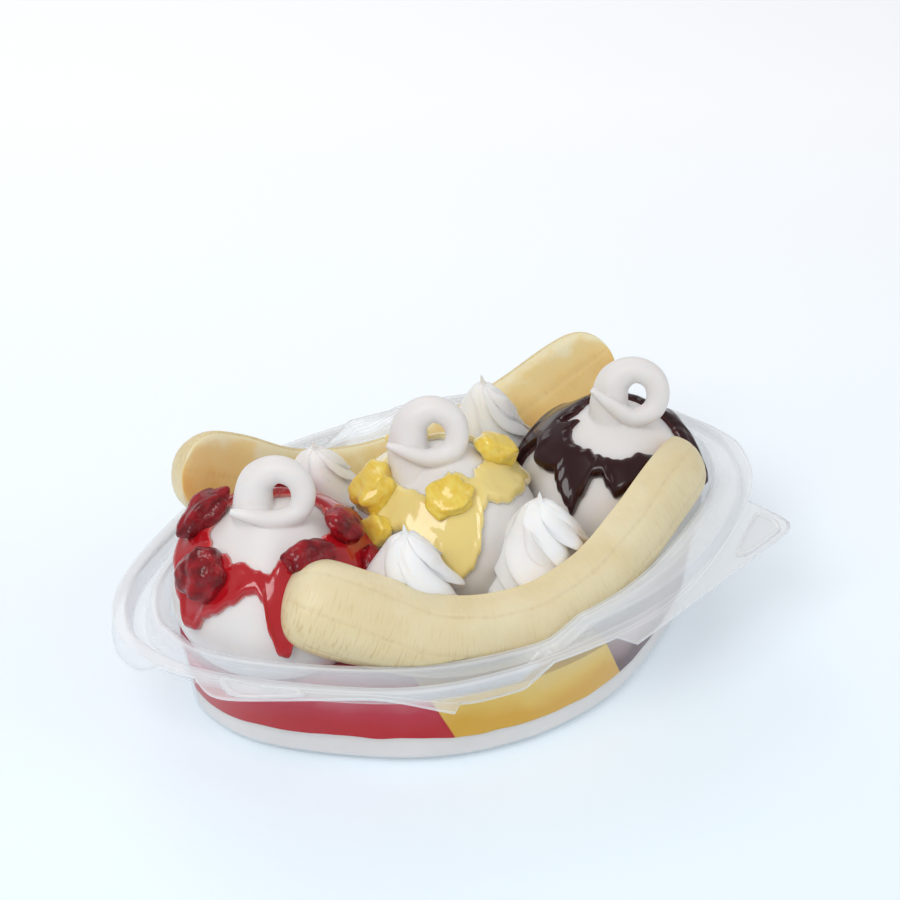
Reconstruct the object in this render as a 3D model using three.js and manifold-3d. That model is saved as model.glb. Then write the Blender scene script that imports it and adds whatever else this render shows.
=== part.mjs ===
// A banana split in its clear tray: three soft-serve scoops with curls, a fruit or chocolate
// sauce on each, piped cream between them and a peeled banana half along each side.
// Units are millimetres. The origin is the middle of the tray's flat base, +X runs along the
// tray from the strawberry scoop to the chocolate one, +Z is up.
import * as THREE from 'three'
import { mergeVertices } from 'three/addons/utils/BufferGeometryUtils.js'
import Module from 'manifold-3d'

const wasm = await Module()
wasm.setup()

// Clearance between neighbours that touch in the real thing.
const GAP = 0.3
const WALL_GAP = 0.45
// Room for the difference between facets that don't line up.
const FACET_ROOM = 0.75

// The tray, a thermoformed sheet. Each outline is a rounded long hexagon: its reach along X,
// along Y, and square to its slanted corners, whose direction is turn; edge sets how sharp it is.
const SHEET = 0.9
const RIM_HEIGHT = 42
const BASE = { end: 89.5, side: 62.8, corner: 68, turn: 0.95, edge: 9 }
const WALL_TOP = { end: 99.5, side: 63.2, corner: 69.5, turn: 1.0, edge: 9 }
const RIDGE = { end: 106.7, side: 67.5, corner: 81, turn: 0.97, edge: 8 }
const FLANGE = { end: 113.5, side: 72.1, corner: 83.1, turn: 0.95, edge: 9.9 }
const BASE_ROUNDING = 5
const CREASE_HEIGHT = 15
const SHOULDER_HEIGHT = 34
// Share of the wall's flare that is reached at each of those heights and at the rim.
const FLARE = { crease: 0.1, shoulder: 0.4 }

// The rim closes onto its own mirror image: a ridge stands on the right half, a channel is sunk
// into the left half, and both run out on a short level land at the middle of each long side.
const RIDGE_HEIGHT = 5
const CHANNEL_DEPTH = 7
const RIDGE_RUN = [4, 14.5]
const CHANNEL_RUN = [0, -8.5]
const LIP = 2.2
const LIP_EXTRA_AT_ENDS = 2.4

// Two finger tabs on the front corners, each the meeting of two straight edges.
const TABS = [
  { from: 190, to: 246, sides: [{ reach: 97.5, facing: 178 }, { reach: 80.6, facing: 243.5 }] },
  { from: 288, to: 345, sides: [{ reach: 77.6, facing: 22.5 }, { reach: 80.9, facing: -70.5 }] },
]
const TAB_SHARPNESS = 26
const TAB_LEVEL_TO = 226
const TAB_PAD_HEIGHT = 0.9
const TAB_PADS = [
  [[-92.4, -33.5], [-92.8, -40.6], [-88.6, -45.2], [-73.6, -52.2], [-73.4, -49.8], [-84, -42]],
  [[94.9, -38.2], [98.6, -43.2], [96.8, -49.4], [80.6, -55.2], [77.4, -52.8]],
]

// What lies in the tray: a bed of vanilla, then the three sauces side by side above it.
const BED_TOP = 10.5
const BED_WAVE = 0.8
const SAUCE_LEVEL = 28
const SAUCE_DIP = 1.6
const STRAWBERRY_TO_PINEAPPLE = -26
const PINEAPPLE_TO_CHOCOLATE = 35
const BORDER_LEAN = -0.42

// The scoops, with the clear middle of each curl.
const SCOOPS = {
  strawberry: { centre: [-59.5, 0, 40.5], round: 32.3, height: 29, curl: [-56.4, -2, 77.3], tip: -1.2 },
  pineapple: { centre: [1, 0, 39.5], round: 31.2, height: 32, curl: [-2, 1.4, 80.4], tip: 0.5 },
  chocolate: { centre: [61, -2.5, 39.5], round: 30.6, height: 30, curl: [67.4, -5.8, 78.6], tip: 5.6 },
}
const SCOOP_PEAK = 4
// The curls stand square to this heading, leaning back a little.
const CURL_HEADING = new THREE.Vector3(-0.459, -0.888, 0)
const CURL_LEAN = THREE.MathUtils.degToRad(12)

// Sauce coats. Each row is a heading round the scoop in degrees, and the slope angles, measured
// from the scoop's top, where the sauce begins and where its drips end.
const COAT_THICKNESS = 2
const COAT_TOP = COAT_THICKNESS + 0.9
const COATS = {
  strawberry: [
    [-175, 39, 76], [-167, 37, 88], [-161, 35, 86], [-155, 36, 74], [-150, 37, 70], [-140, 36, 62],
    [-131, 37, 54], [-125, 38, 53], [-120, 40, 57], [-116, 40, 76], [-112, 37, 88], [-107, 33, 90],
    [-103, 31, 78], [-96, 30, 66], [-85, 29, 62], [-60, 32, 72], [-42, 33, 76], [-28, 33, 68],
    [-10, 29, 66], [10, 26, 62], [30, 26, 74], [62, 30, 58], [100, 28, 72], [142, 28, 60], [165, 36, 66],
  ],
  pineapple: [
    [-172, 33, 58], [-165, 33, 63], [-158, 32, 55], [-150, 31, 48], [-142, 31, 52], [-135, 33, 57],
    [-126, 27, 60], [-121, 20, 67], [-115, 18, 71], [-110, 18, 79], [-103, 18, 71], [-98, 19, 62],
    [-92, 20, 45], [-86, 22, 37], [-77, 23, 36], [-68, 21, 42], [-58, 20, 47], [-30, 22, 52],
    [-10, 23, 62], [5, 24, 72], [40, 26, 60], [80, 28, 68], [118, 30, 58], [152, 32, 64],
  ],
  chocolate: [
    [-178, 31, 56], [-168, 32, 53], [-163, 32, 58], [-158, 32, 63], [-150, 31, 69], [-146, 32, 74],
    [-142, 33, 62], [-137, 33, 48], [-130, 34, 47], [-125, 34, 52], [-119, 34, 58], [-108, 34, 54],
    [-92, 33, 46], [-70, 38, 50], [-54, 47, 60], [-46, 49, 68], [-41, 47, 76], [-33, 44, 66],
    [-22, 39, 58], [-12, 37, 52], [8, 31, 52], [22, 26, 60], [45, 25, 52], [75, 25, 66],
    [105, 22, 54], [128, 20, 60], [140, 23, 74], [146, 30, 88], [151, 30, 62], [156, 27, 50],
    [163, 22, 52], [170, 28, 57],
  ],
}

// Pieces of fruit on the sauce: heading, slope angle, half sizes along, across and up.
const STRAWBERRY_PIECES = [
  [-163, 51, 8.5, 7.5, 6], [143, 36, 10, 6, 5], [-30, 39, 7.5, 6.5, 4.5], [-82, 37, 9, 5.5, 4],
  [-39, 63, 4, 6.5, 3], [52, 38, 6.5, 5.5, 4],
]
const PINEAPPLE_PIECES = [
  [172, 44, 8, 7, 5], [-115, 33, 7.5, 6.5, 3.2], [-14, 28, 8, 6, 4.5], [-166, 60, 5.5, 5.5, 3.5],
  [95, 44, 7, 6, 4],
]

// Piped cream: foot, half width, height, and how far its tip leans.
const ROSETTES = {
  cream_left_back: { foot: [-28.5, 28, 36], round: 12.8, height: 32.5, lean: [-4.4, 1.2] },
  cream_middle_back: { foot: [35, 31, 36], round: 13, height: 39.5, lean: [-5, 1] },
  cream_left_front: { foot: [-26, -31, 34], round: 15.5, height: 41, lean: [-3, 1.5] },
  cream_right_front: { foot: [18.5, -33, 34], round: 16.4, height: 38.5, lean: [-1.5, 2] },
}
const ROSETTE_RIDGES = 6
const ROSETTE_TWIST = 1.9

// Banana halves: points down the middle of the flat cut face, where that face looks, and how
// much thicker than its middle each half is towards its left and right end.
const BANANA_ROUND = 13.6
const BANANA_BLUNTNESS = 16
const BANANAS = {
  front: {
    along: [[-67, -24, 58], [-48, -35.5, 51], [-26, -44.5, 42.5], [3, -47.5, 40.5], [26, -44, 44.5],
      [43, -37, 50], [61, -27, 55], [80, -16.5, 57.5]],
    cutFace: [[0.25, 0.85, -0.45], [0.1, 0.99, 0.1], [-0.5, 0.85, -0.1]],
    thicker: [0.16, -0.02],
  },
  back: {
    along: [[-73, 40, 65.5], [-55, 42.5, 54.5], [-33, 45, 40.5], [-6, 46.5, 33.5], [22, 46.5, 34.5],
      [48, 44, 44.5], [68, 40, 58], [82, 36.5, 68]],
    cutFace: [[-0.3, -0.78, 0.55], [-0.35, -0.75, 0.56], [-0.42, -0.7, 0.57]],
    thicker: [0.1, -0.04],
  },
}

const COLOURS = {
  plastic: 0xe9edf0, vanilla: 0xe3dfdb, cream: 0xf4f2f0, strawberry: 0xcb2a30, berry: 0x9c1626,
  pineapple: 0xe9c96f, fruit: 0xecc32c, chocolate: 0x38110f, banana: 0xe9d9a2,
}

// A closed surface as a solid, turned the right way out.
function solidFrom(points, triangles) {
  const vertProperties = new Float32Array(points.flatMap((p) => [p.x, p.y, p.z]))
  const made = new wasm.Manifold(
    new wasm.Mesh({ numProp: 3, vertProperties, triVerts: new Uint32Array(triangles.flat()) }),
  )
  if (made.volume() > 0) return made
  return solidFrom(points, triangles.map(([a, b, c]) => [a, c, b]))
}

// Rings of points one above another, closed by one point at each end.
function stackRings(first, rings, last) {
  const count = rings[0].length
  const points = [first, ...rings.flat(), last]
  const triangles = []
  for (let j = 0; j < count; j++) {
    const k = (j + 1) % count
    triangles.push([0, 1 + j, 1 + k])
    triangles.push([points.length - 1, points.length - 1 - count + k, points.length - 1 - count + j])
    for (let i = 1; i < rings.length; i++) {
      const upper = 1 + (i - 1) * count
      const lower = 1 + i * count
      triangles.push([upper + j, lower + j, lower + k])
      triangles.push([upper + j, lower + k, upper + k])
    }
  }
  return solidFrom(points, triangles)
}

// Closed sections side by side all the way round, as in a ring.
function wrapSections(sections) {
  const count = sections[0].length
  const triangles = []
  sections.forEach((section, j) => {
    const here = j * count
    const next = ((j + 1) % sections.length) * count
    for (let i = 0; i < count; i++) {
      const k = (i + 1) % count
      triangles.push([here + i, next + i, next + k])
      triangles.push([here + i, next + k, here + k])
    }
  })
  return solidFrom(sections.flat(), triangles)
}

function solidFromGeometry(geometry) {
  const bare = new THREE.BufferGeometry()
  bare.setAttribute('position', geometry.getAttribute('position'))
  if (geometry.index) bare.setIndex(geometry.index)
  const merged = mergeVertices(bare)
  return new wasm.Manifold(
    new wasm.Mesh({
      numProp: 3,
      vertProperties: merged.getAttribute('position').array,
      triVerts: new Uint32Array(merged.index.array),
    }),
  )
}

// A solid with its neighbours' shapes cut away, without the scraps that the cut leaves.
function cutAway(solid, neighbours) {
  const left = neighbours.reduce((body, neighbour) => body.subtract(neighbour), solid)
  return left.decompose().sort((a, b) => b.volume() - a.volume())[0]
}

const group = new THREE.Group()

function addPiece(name, solid, colour, roughness, transparent = false) {
  const mesh = solid.getMesh()
  const geometry = new THREE.BufferGeometry()
  geometry.setAttribute('position', new THREE.BufferAttribute(mesh.vertProperties, 3))
  geometry.setIndex(new THREE.BufferAttribute(mesh.triVerts, 1))
  geometry.computeVertexNormals()
  const material = new THREE.MeshStandardMaterial({ color: colour, roughness, metalness: 0 })
  if (transparent) Object.assign(material, { transparent: true, opacity: 0.3 })
  const piece = new THREE.Mesh(geometry, material)
  piece.name = name
  group.add(piece)
}

const radians = THREE.MathUtils.degToRad
const mix = THREE.MathUtils.lerp
const clamp = THREE.MathUtils.clamp
const vector = (list) => new THREE.Vector3(...list)

// Distance from the tray's axis to one of its outlines.
function reach(outline, angle) {
  const c = Math.abs(Math.cos(angle))
  const s = Math.abs(Math.sin(angle))
  const slanted = c * Math.cos(outline.turn) + s * Math.sin(outline.turn)
  const shares = [c / outline.end, s / outline.side, slanted / outline.corner]
  return shares.reduce((sum, share) => sum + share ** outline.edge, 0) ** (-1 / outline.edge)
}

// Distance from the axis to the tray's wall at a height, less an inset from its outer face.
function wallReach(angle, z, inset) {
  const foot = reach(BASE, angle)
  if (z < BASE_ROUNDING) {
    const drop = BASE_ROUNDING - z
    return foot - BASE_ROUNDING + Math.sqrt(Math.max((BASE_ROUNDING - inset) ** 2 - drop ** 2, 0))
  }
  const flare = reach(WALL_TOP, angle) - foot
  const heights = [BASE_ROUNDING, CREASE_HEIGHT, SHOULDER_HEIGHT, RIM_HEIGHT - 1]
  const shares = [0, FLARE.crease, FLARE.shoulder, 1]
  const k = z < CREASE_HEIGHT ? 0 : z < SHOULDER_HEIGHT ? 1 : 2
  const past = clamp((z - heights[k]) / (heights[k + 1] - heights[k]), 0, 1)
  return foot + flare * mix(shares[k], shares[k + 1], past) - inset
}

// The headings at which the tray and its contents are drawn: closer together at the ends, with
// some placed on the rim's steps and the tabs' corners.
function trayHeadings() {
  const steps = 34
  const placed = []
  for (const side of [1, -1]) {
    for (const x of [...RIDGE_RUN, ...CHANNEL_RUN]) placed.push(Math.atan2(side * 68, x))
  }
  placed.push(radians(-164), radians(-155.5), radians(-151), radians(-18), radians(-24.6), radians(-30))
  const regular = Array.from({ length: steps }, (_, i) => {
    const t = (i / steps) * 2 * Math.PI - Math.PI
    return Math.atan2(0.78 * Math.sin(t), Math.cos(t))
  })
  const near = radians(3)
  const kept = regular.filter((angle) => placed.every((other) => Math.abs(angle - other) > near))
  return [...kept, ...placed].sort((a, b) => a - b)
}

// How far the rim stands above its level, or is sunk below it, at a place along the tray.
function rimLift(x) {
  const up = clamp((x - RIDGE_RUN[0]) / (RIDGE_RUN[1] - RIDGE_RUN[0]), 0, 1)
  const down = clamp((x - CHANNEL_RUN[0]) / (CHANNEL_RUN[1] - CHANNEL_RUN[0]), 0, 1)
  return up * RIDGE_HEIGHT - down * CHANNEL_DEPTH
}

// The flange's outer edge with the tabs.
function flangeEdge(angle) {
  const degrees = (THREE.MathUtils.radToDeg(angle) + 360) % 360
  let edge = reach(FLANGE, angle)
  for (const tab of TABS) {
    if (degrees < tab.from || degrees > tab.to) continue
    let sum = 0
    for (const side of tab.sides) {
      sum += (Math.max(Math.cos(angle - radians(side.facing)), 0) / side.reach) ** TAB_SHARPNESS
    }
    edge = Math.max(edge, sum ** (-1 / TAB_SHARPNESS))
  }
  return edge
}

// The channel's outer wall hangs below the flange, and less so where the left tab leaves it.
function tabDrop(angle) {
  const degrees = (THREE.MathUtils.radToDeg(angle) + 360) % 360
  if (degrees > TAB_LEVEL_TO) return THREE.MathUtils.smoothstep(degrees, TAB_LEVEL_TO, TABS[0].to + 6)
  return 1 - THREE.MathUtils.smoothstep(degrees, TABS[0].from - 6, TABS[0].from + 2)
}

// The sheet's two faces at one heading, from the middle of the floor out to the edge and back,
// as distances from the axis and heights. A skin thickens the inner face.
function traySection(angle, skin) {
  const top = reach(WALL_TOP, angle)
  const flange = reach(FLANGE, angle)
  const edge = flangeEdge(angle)
  const lift = rimLift(top * Math.cos(angle))
  const raised = Math.max(lift, 0)
  const sunk = Math.max(-lift, 0)
  const ridgeShare = raised / RIDGE_HEIGHT
  const skirt = sunk * tabDrop(angle)
  const lip = LIP + LIP_EXTRA_AT_ENDS * Math.cos(angle) ** 2
  const channelFoot = flange - lip - 1.2
  const ridgeTop = reach(RIDGE, angle)
  const innerFoot = mix(top + 3.2, (top + ridgeTop) / 2, ridgeShare)
  const outerFoot = mix(channelFoot, ridgeTop, ridgeShare)
  const lipStart = mix(flange - lip, ridgeTop + 1.4, ridgeShare)
  const inset = SHEET + skin
  const inner = [BASE_ROUNDING * 0.45, BASE_ROUNDING, CREASE_HEIGHT, SHOULDER_HEIGHT]
  const upper = [
    [wallReach(angle, inset, inset) - 0.01, inset],
    ...inner.map((z) => [wallReach(angle, z, inset), z]),
    [top - inset, RIM_HEIGHT - 1],
    [top - inset + 0.4, RIM_HEIGHT + raised + skin],
    [top + 1.2, RIM_HEIGHT + raised + skin],
    [innerFoot, RIM_HEIGHT + lift + skin],
    [outerFoot, RIM_HEIGHT + lift + skin],
    [lipStart, RIM_HEIGHT + skin],
    [flange - 0.6, RIM_HEIGHT + skin],
    [flange + 0.1, RIM_HEIGHT - skirt + skin],
    [Math.max(edge, flange + 0.3), RIM_HEIGHT - skirt + skin],
  ]
  const under = [
    [Math.max(edge, flange + 0.3), RIM_HEIGHT - skirt - SHEET],
    [mix(lipStart + 0.7, ridgeTop + 0.7, ridgeShare), RIM_HEIGHT - Math.max(sunk, skirt) - SHEET],
    [mix(outerFoot + 0.7, ridgeTop - 0.7, ridgeShare), RIM_HEIGHT + lift - SHEET],
    [mix(innerFoot - 0.7, innerFoot, ridgeShare), RIM_HEIGHT + lift - SHEET],
    [top + 0.55, RIM_HEIGHT + raised - 1.2],
    [top, RIM_HEIGHT - 1.6],
    [wallReach(angle, SHOULDER_HEIGHT, 0), SHOULDER_HEIGHT],
    [wallReach(angle, CREASE_HEIGHT, 0), CREASE_HEIGHT],
    [wallReach(angle, BASE_ROUNDING, 0), BASE_ROUNDING],
    [wallReach(angle, BASE_ROUNDING * 0.3, 0), BASE_ROUNDING * 0.3],
    [wallReach(angle, 0, 0), 0],
  ]
  return [...upper, ...under]
}

const headings = trayHeadings()
const atHeading = (angle, r, z) => new THREE.Vector3(r * Math.cos(angle), r * Math.sin(angle), z)

function trayShell(skin) {
  const sections = headings.map((angle) => traySection(angle, skin))
  const rings = sections[0].map((_, row) =>
    headings.map((angle, j) => atHeading(angle, ...sections[j][row])))
  return stackRings(new THREE.Vector3(0, 0, SHEET + skin), rings, new THREE.Vector3(0, 0, 0))
}

function tabPad(outline) {
  const corners = outline.map(([x, y]) => new THREE.Vector3(x, y, 0))
  const path = new THREE.CatmullRomCurve3(corners, true, 'catmullrom', 0.35)
  const shape = new THREE.Shape(path.getPoints(20).slice(0, -1).map((p) => new THREE.Vector2(p.x, p.y)))
  const depth = SHEET * 0.5 + TAB_PAD_HEIGHT
  const geometry = new THREE.ExtrudeGeometry(shape, { depth, bevelEnabled: false })
  geometry.translate(0, 0, RIM_HEIGHT - SHEET * 0.5)
  return solidFromGeometry(geometry)
}

// The bed's uneven top.
const bedTop = (x, y) => BED_TOP + BED_WAVE * Math.sin(x * 0.045 + 1.2) * Math.cos(y * 0.05)
// The sauces' top, level under the scoops and lower by the wall.
function sauceTop(x, y, share) {
  const ripple = 0.6 + 0.4 * Math.sin(x * 0.11) * Math.cos(y * 0.13)
  return SAUCE_LEVEL - SAUCE_DIP * clamp((share - 0.7) / 0.3, 0, 1) * ripple
}

// A filling that follows the tray's wall between two faces.
function filling(lowerFace, upperFace, wallHeights) {
  const inset = SHEET + WALL_GAP
  const shares = [0.45, 0.82]
  const face = (height, z, share) =>
    headings.map((angle) => {
      const r = wallReach(angle, z, inset) * share
      return atHeading(angle, r, height(r * Math.cos(angle), r * Math.sin(angle), share))
    })
  const [lowZ, highZ] = [wallHeights[0], wallHeights[wallHeights.length - 1]]
  const rings = [
    ...shares.map((share) => face(upperFace, highZ, share)),
    face(upperFace, highZ, 1),
    ...wallHeights.slice(1, -1).reverse().map((z) =>
      headings.map((a) => atHeading(a, wallReach(a, z, inset), z))),
    face(lowerFace, lowZ, 1),
    ...[...shares].reverse().map((share) => face(lowerFace, lowZ, share)),
  ]
  return stackRings(
    new THREE.Vector3(0, 0, upperFace(0, 0, 0)), rings, new THREE.Vector3(0, 0, lowerFace(0, 0, 0)),
  )
}

// All that lies between two slanting borders across the tray.
function betweenBorders(left, right) {
  const half = 120
  const slab = (x, side) => {
    const box = new THREE.BoxGeometry(half * 2, half * 2, half * 2)
    box.translate(side * half, 0, 0)
    box.rotateY(BORDER_LEAN)
    box.translate(x, 0, BED_TOP)
    return solidFromGeometry(box)
  }
  return slab(left, 1).intersect(slab(right, -1))
}

// A scoop's surface at a heading and slope angle, grown outwards by a distance.
function onScoop(scoop, heading, slope, grow) {
  const peak = SCOOP_PEAK * Math.exp(-((slope / 0.42) ** 2))
  const wobble = 0.6 * Math.sin(3 * heading + scoop.round) * Math.sin(slope)
  const out = scoop.round + grow + wobble
  return new THREE.Vector3(
    scoop.centre[0] + out * Math.sin(slope) * Math.cos(heading),
    scoop.centre[1] + out * Math.sin(slope) * Math.sin(heading),
    scoop.centre[2] + (scoop.height + grow + peak) * Math.cos(slope),
  )
}

// A point moved in, where it must be, to clear the tray's wall.
function insideTray(point) {
  if (point.z > RIM_HEIGHT) return point
  const limit = wallReach(Math.atan2(point.y, point.x), point.z, SHEET + WALL_GAP + 1.5 * FACET_ROOM)
  const out = Math.hypot(point.x, point.y)
  if (out > limit) point.set((point.x * limit) / out, (point.y * limit) / out, point.z)
  return point
}

// The dome of a scoop, standing level on the sauce.
function scoopDome(scoop, grow) {
  const around = 30
  const rows = 8
  const floor = SAUCE_LEVEL + GAP - (grow > 0 ? 6 : 0)
  const lowest = Math.acos(clamp((floor - scoop.centre[2]) / (scoop.height + grow), -1, 1))
  const rings = []
  for (let i = 1; i <= rows; i++) {
    const slope = (lowest * i) / rows
    rings.push(Array.from({ length: around }, (_, j) => {
      const point = onScoop(scoop, (j / around) * 2 * Math.PI, slope, grow)
      if (i === rows) point.z = floor
      return insideTray(point)
    }))
  }
  const middle = vector(scoop.centre)
  return stackRings(onScoop(scoop, 0, 0, grow), rings, middle.clone().setZ(floor))
}

// A round rope along a curve, as thick at each point as told.
function rope(centres, radii, sides, steps, grow) {
  const curve = new THREE.CatmullRomCurve3(centres, false, 'centripetal')
  const frames = curve.computeFrenetFrames(steps, false)
  const rings = []
  for (let i = 0; i <= steps; i++) {
    const t = i / steps
    const place = t * (radii.length - 1)
    const k = Math.min(Math.floor(place), radii.length - 2)
    const radius = mix(radii[k], radii[k + 1], place - k) + grow
    const middle = curve.getPoint(t)
    rings.push(Array.from({ length: sides }, (_, j) => {
      const a = (j / sides) * 2 * Math.PI
      return middle.clone()
        .addScaledVector(frames.normals[i], radius * Math.cos(a))
        .addScaledVector(frames.binormals[i], radius * Math.sin(a))
    }))
  }
  return stackRings(centres[0].clone(), rings, centres[centres.length - 1].clone())
}

// The curl on a scoop: up the left side, over the top, down, and across the front to a thin tip.
// Each row is across, up, towards the front, and half thickness, from the curl's clear middle.
function curl(scoop, grow) {
  const up = new THREE.Vector3(0, 0, Math.cos(CURL_LEAN))
  up.addScaledVector(CURL_HEADING, -Math.sin(CURL_LEAN))
  const across = new THREE.Vector3().crossVectors(new THREE.Vector3(0, 0, 1), CURL_HEADING).normalize()
  const rows = [
    [-6, -17, -1, 9.3], [-8.2, -10, -1, 7.3], [-9, -2, -1, 6.1], [-7.2, 4.6, -0.8, 5.4],
    [-1.4, 8.1, -0.2, 4.3], [4.4, 6, 0.6, 4], [6.5, 0.9, 1.4, 3.8], [4.8, -4, 2.8, 3.6], [-1.6, -5.2, 5, 3.1],
    [-9.6, -2.2 + 0.5 * scoop.tip, 6.9, 2.2], [-15.5, scoop.tip, 7.2, 1],
  ]
  const origin = vector(scoop.curl)
  const centres = rows.map(([a, b, c]) =>
    origin.clone().addScaledVector(across, a).addScaledVector(up, b).addScaledVector(CURL_HEADING, c))
  return rope(centres, rows.map((row) => row[3]), 8, 20, grow)
}

// The edges of a sauce coat at any heading, eased between the rows that are given.
function coatEdges(rows, heading) {
  const degrees = THREE.MathUtils.radToDeg(heading)
  const count = rows.length
  for (let i = 0; i < count; i++) {
    const [from, upperA, lowerA] = rows[i]
    const [next, upperB, lowerB] = rows[(i + 1) % count]
    const span = (next - from + 360) % 360
    const past = (degrees - from + 720) % 360
    if (past > span) continue
    const eased = THREE.MathUtils.smoothstep(past / span, 0, 1)
    return [mix(upperA, upperB, eased), mix(lowerA, lowerB, eased)].map(radians)
  }
}

function sauceCoat(scoop, rows) {
  const around = 38
  const under = GAP + FACET_ROOM
  const rise = [0.35, 1, 1, 0.45]
  const sections = []
  for (let j = 0; j < around; j++) {
    const heading = (j / around) * 2 * Math.PI
    const [start, end] = coatEdges(rows, heading)
    const lowest = Math.acos((SAUCE_LEVEL + 2 * GAP - scoop.centre[2]) / (scoop.height + GAP))
    const stop = Math.min(end, lowest)
    const outer = rise.map((share, i) => {
      const slope = mix(start, stop, i / (rise.length - 1))
      return insideTray(onScoop(scoop, heading, slope, under + 0.05 + share * COAT_THICKNESS))
    })
    const inner = [1, 0.75, 0.5, 0.25, 0].map((share) =>
      onScoop(scoop, heading, mix(start, stop, share), under))
    sections.push([...outer, ...inner])
  }
  return wrapSections(sections)
}

// Seeded random numbers between 0 and 1.
function seeded(seed) {
  let state = seed
  return () => {
    state = (state * 1664525 + 1013904223) % 4294967296
    return state / 4294967296
  }
}

// A rough lump of fruit that lies on a coat.
function fruitPiece(scoop, [heading, slope, along, wide, thick], seed, grow) {
  const random = seeded(seed)
  const faceted = new THREE.IcosahedronGeometry(1, 1)
  faceted.deleteAttribute('normal')
  faceted.deleteAttribute('uv')
  const geometry = mergeVertices(faceted)
  const place = onScoop(scoop, radians(heading), radians(slope), COAT_THICKNESS + 0.45 * thick)
  const upright = place.clone().sub(vector(scoop.centre)).normalize()
  const turn = new THREE.Quaternion().setFromUnitVectors(new THREE.Vector3(0, 0, 1), upright)
  const position = geometry.getAttribute('position')
  const phases = [random() * 6, random() * 6, random() * 6]
  for (let i = 0; i < position.count; i++) {
    const p = new THREE.Vector3().fromBufferAttribute(position, i)
    const rough = 1 + 0.13 * Math.sin(3.1 * p.x + phases[0]) * Math.cos(2.7 * p.y + phases[1]) +
      0.08 * Math.sin(4.7 * p.z + phases[2]) + 0.07 * (random() - 0.5)
    p.multiplyScalar(rough).multiply(new THREE.Vector3(along + grow, wide + grow, thick + grow))
    p.applyQuaternion(turn).add(place)
    const out = p.clone().sub(vector(scoop.centre))
    const tilt = Math.acos(out.z / out.length())
    const least = onScoop(scoop, Math.atan2(out.y, out.x), tilt, COAT_TOP + GAP - grow)
    least.sub(vector(scoop.centre))
    if (out.length() < least.length()) p.copy(least.add(vector(scoop.centre)))
    position.setXYZ(i, p.x, p.y, p.z)
  }
  return solidFromGeometry(geometry)
}

// Width of a piped swirl at a share of its height: a dome with a thin tip drawn up from it.
function rosetteProfile(share) {
  return Math.sqrt(1 - share ** 2.3) * (1 - 0.22 * share)
}

// Cream piped through a star nozzle: twisting ridges that close to a leaning tip.
function rosette({ foot, round, height, lean }) {
  const rows = 6
  const around = ROSETTE_RIDGES * 4
  const rings = []
  for (let i = 0; i < rows; i++) {
    const t = i / rows
    const bulge = round * rosetteProfile(t)
    const depth = 0.17 * (1 - 0.3 * t)
    rings.unshift(Array.from({ length: around }, (_, j) => {
      const a = (j / around) * 2 * Math.PI
      const r = bulge * (1 + depth * Math.cos(ROSETTE_RIDGES * a)) + 0.25
      const turned = a + ROSETTE_TWIST * t ** 0.8
      return new THREE.Vector3(
        foot[0] + lean[0] * t * t + r * Math.cos(turned), foot[1] + lean[1] * t * t + r * Math.sin(turned),
        foot[2] + height * t,
      )
    }))
  }
  const tip = new THREE.Vector3(foot[0] + lean[0], foot[1] + lean[1], foot[2] + height)
  return stackRings(tip, rings, vector(foot))
}

// A peeled half banana: a half-round section along a bent line, blunt at both ends.
function bananaHalf({ along, cutFace, thicker }, grow) {
  const line = new THREE.CatmullRomCurve3(along.map(vector), false, 'centripetal')
  const facing = new THREE.CatmullRomCurve3(cutFace.map(vector), false, 'centripetal')
  const steps = 18
  const arc = 8
  const rings = []
  for (let i = 0; i <= steps; i++) {
    const t = (1 - Math.cos((Math.PI * (i + 0.5)) / (steps + 1))) / 2
    const run = Math.abs(2 * t - 1)
    const size = BANANA_ROUND * (1 + thicker[t < 0.5 ? 0 : 1] * run * run)
    const round = size * Math.sqrt(Math.max(1 - run ** BANANA_BLUNTNESS, 0)) + grow
    const middle = line.getPointAt(t)
    const tangent = line.getTangentAt(t)
    const out = facing.getPoint(t).projectOnPlane(tangent).normalize().negate()
    const rim = new THREE.Vector3().crossVectors(tangent, out)
    const ring = []
    for (let j = 0; j <= arc; j++) {
      const a = (Math.PI * j) / arc
      ring.push([Math.cos(a), Math.sin(a)])
    }
    ring.push([-0.93, -0.09], [0, -0.07], [0.93, -0.09])
    rings.push(ring.map(([a, b]) =>
      middle.clone().addScaledVector(rim, a * round).addScaledVector(out, b * round - (b < 0 ? grow : 0))))
  }
  const end = (t, shift) => line.getPointAt(t).addScaledVector(line.getTangentAt(t), shift)
  return stackRings(end(0, -0.2 - grow), rings, end(1, 0.2 + grow))
}

const bananaNames = Object.keys(BANANAS)
const scoopNames = Object.keys(SCOOPS)
const trayKeepOut = trayShell(GAP)
const bananas = bananaNames.map((name) => cutAway(bananaHalf(BANANAS[name], 0), [trayKeepOut]))
const bananaKeepOuts = bananaNames.map((name) => bananaHalf(BANANAS[name], GAP))

const tray = TAB_PADS.map(tabPad).reduce((shell, pad) => shell.add(pad), trayShell(0))
addPiece('tray', tray, COLOURS.plastic, 0.1, true)
addPiece(
  'ice_cream_bed',
  filling(() => SHEET + WALL_GAP, bedTop, [SHEET + WALL_GAP, BASE_ROUNDING * 0.45, BASE_ROUNDING, BED_TOP]),
  COLOURS.vanilla, 0.6,
)
bananaNames.forEach((name, i) => addPiece(`banana_${name}`, bananas[i], COLOURS.banana, 0.5))

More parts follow.
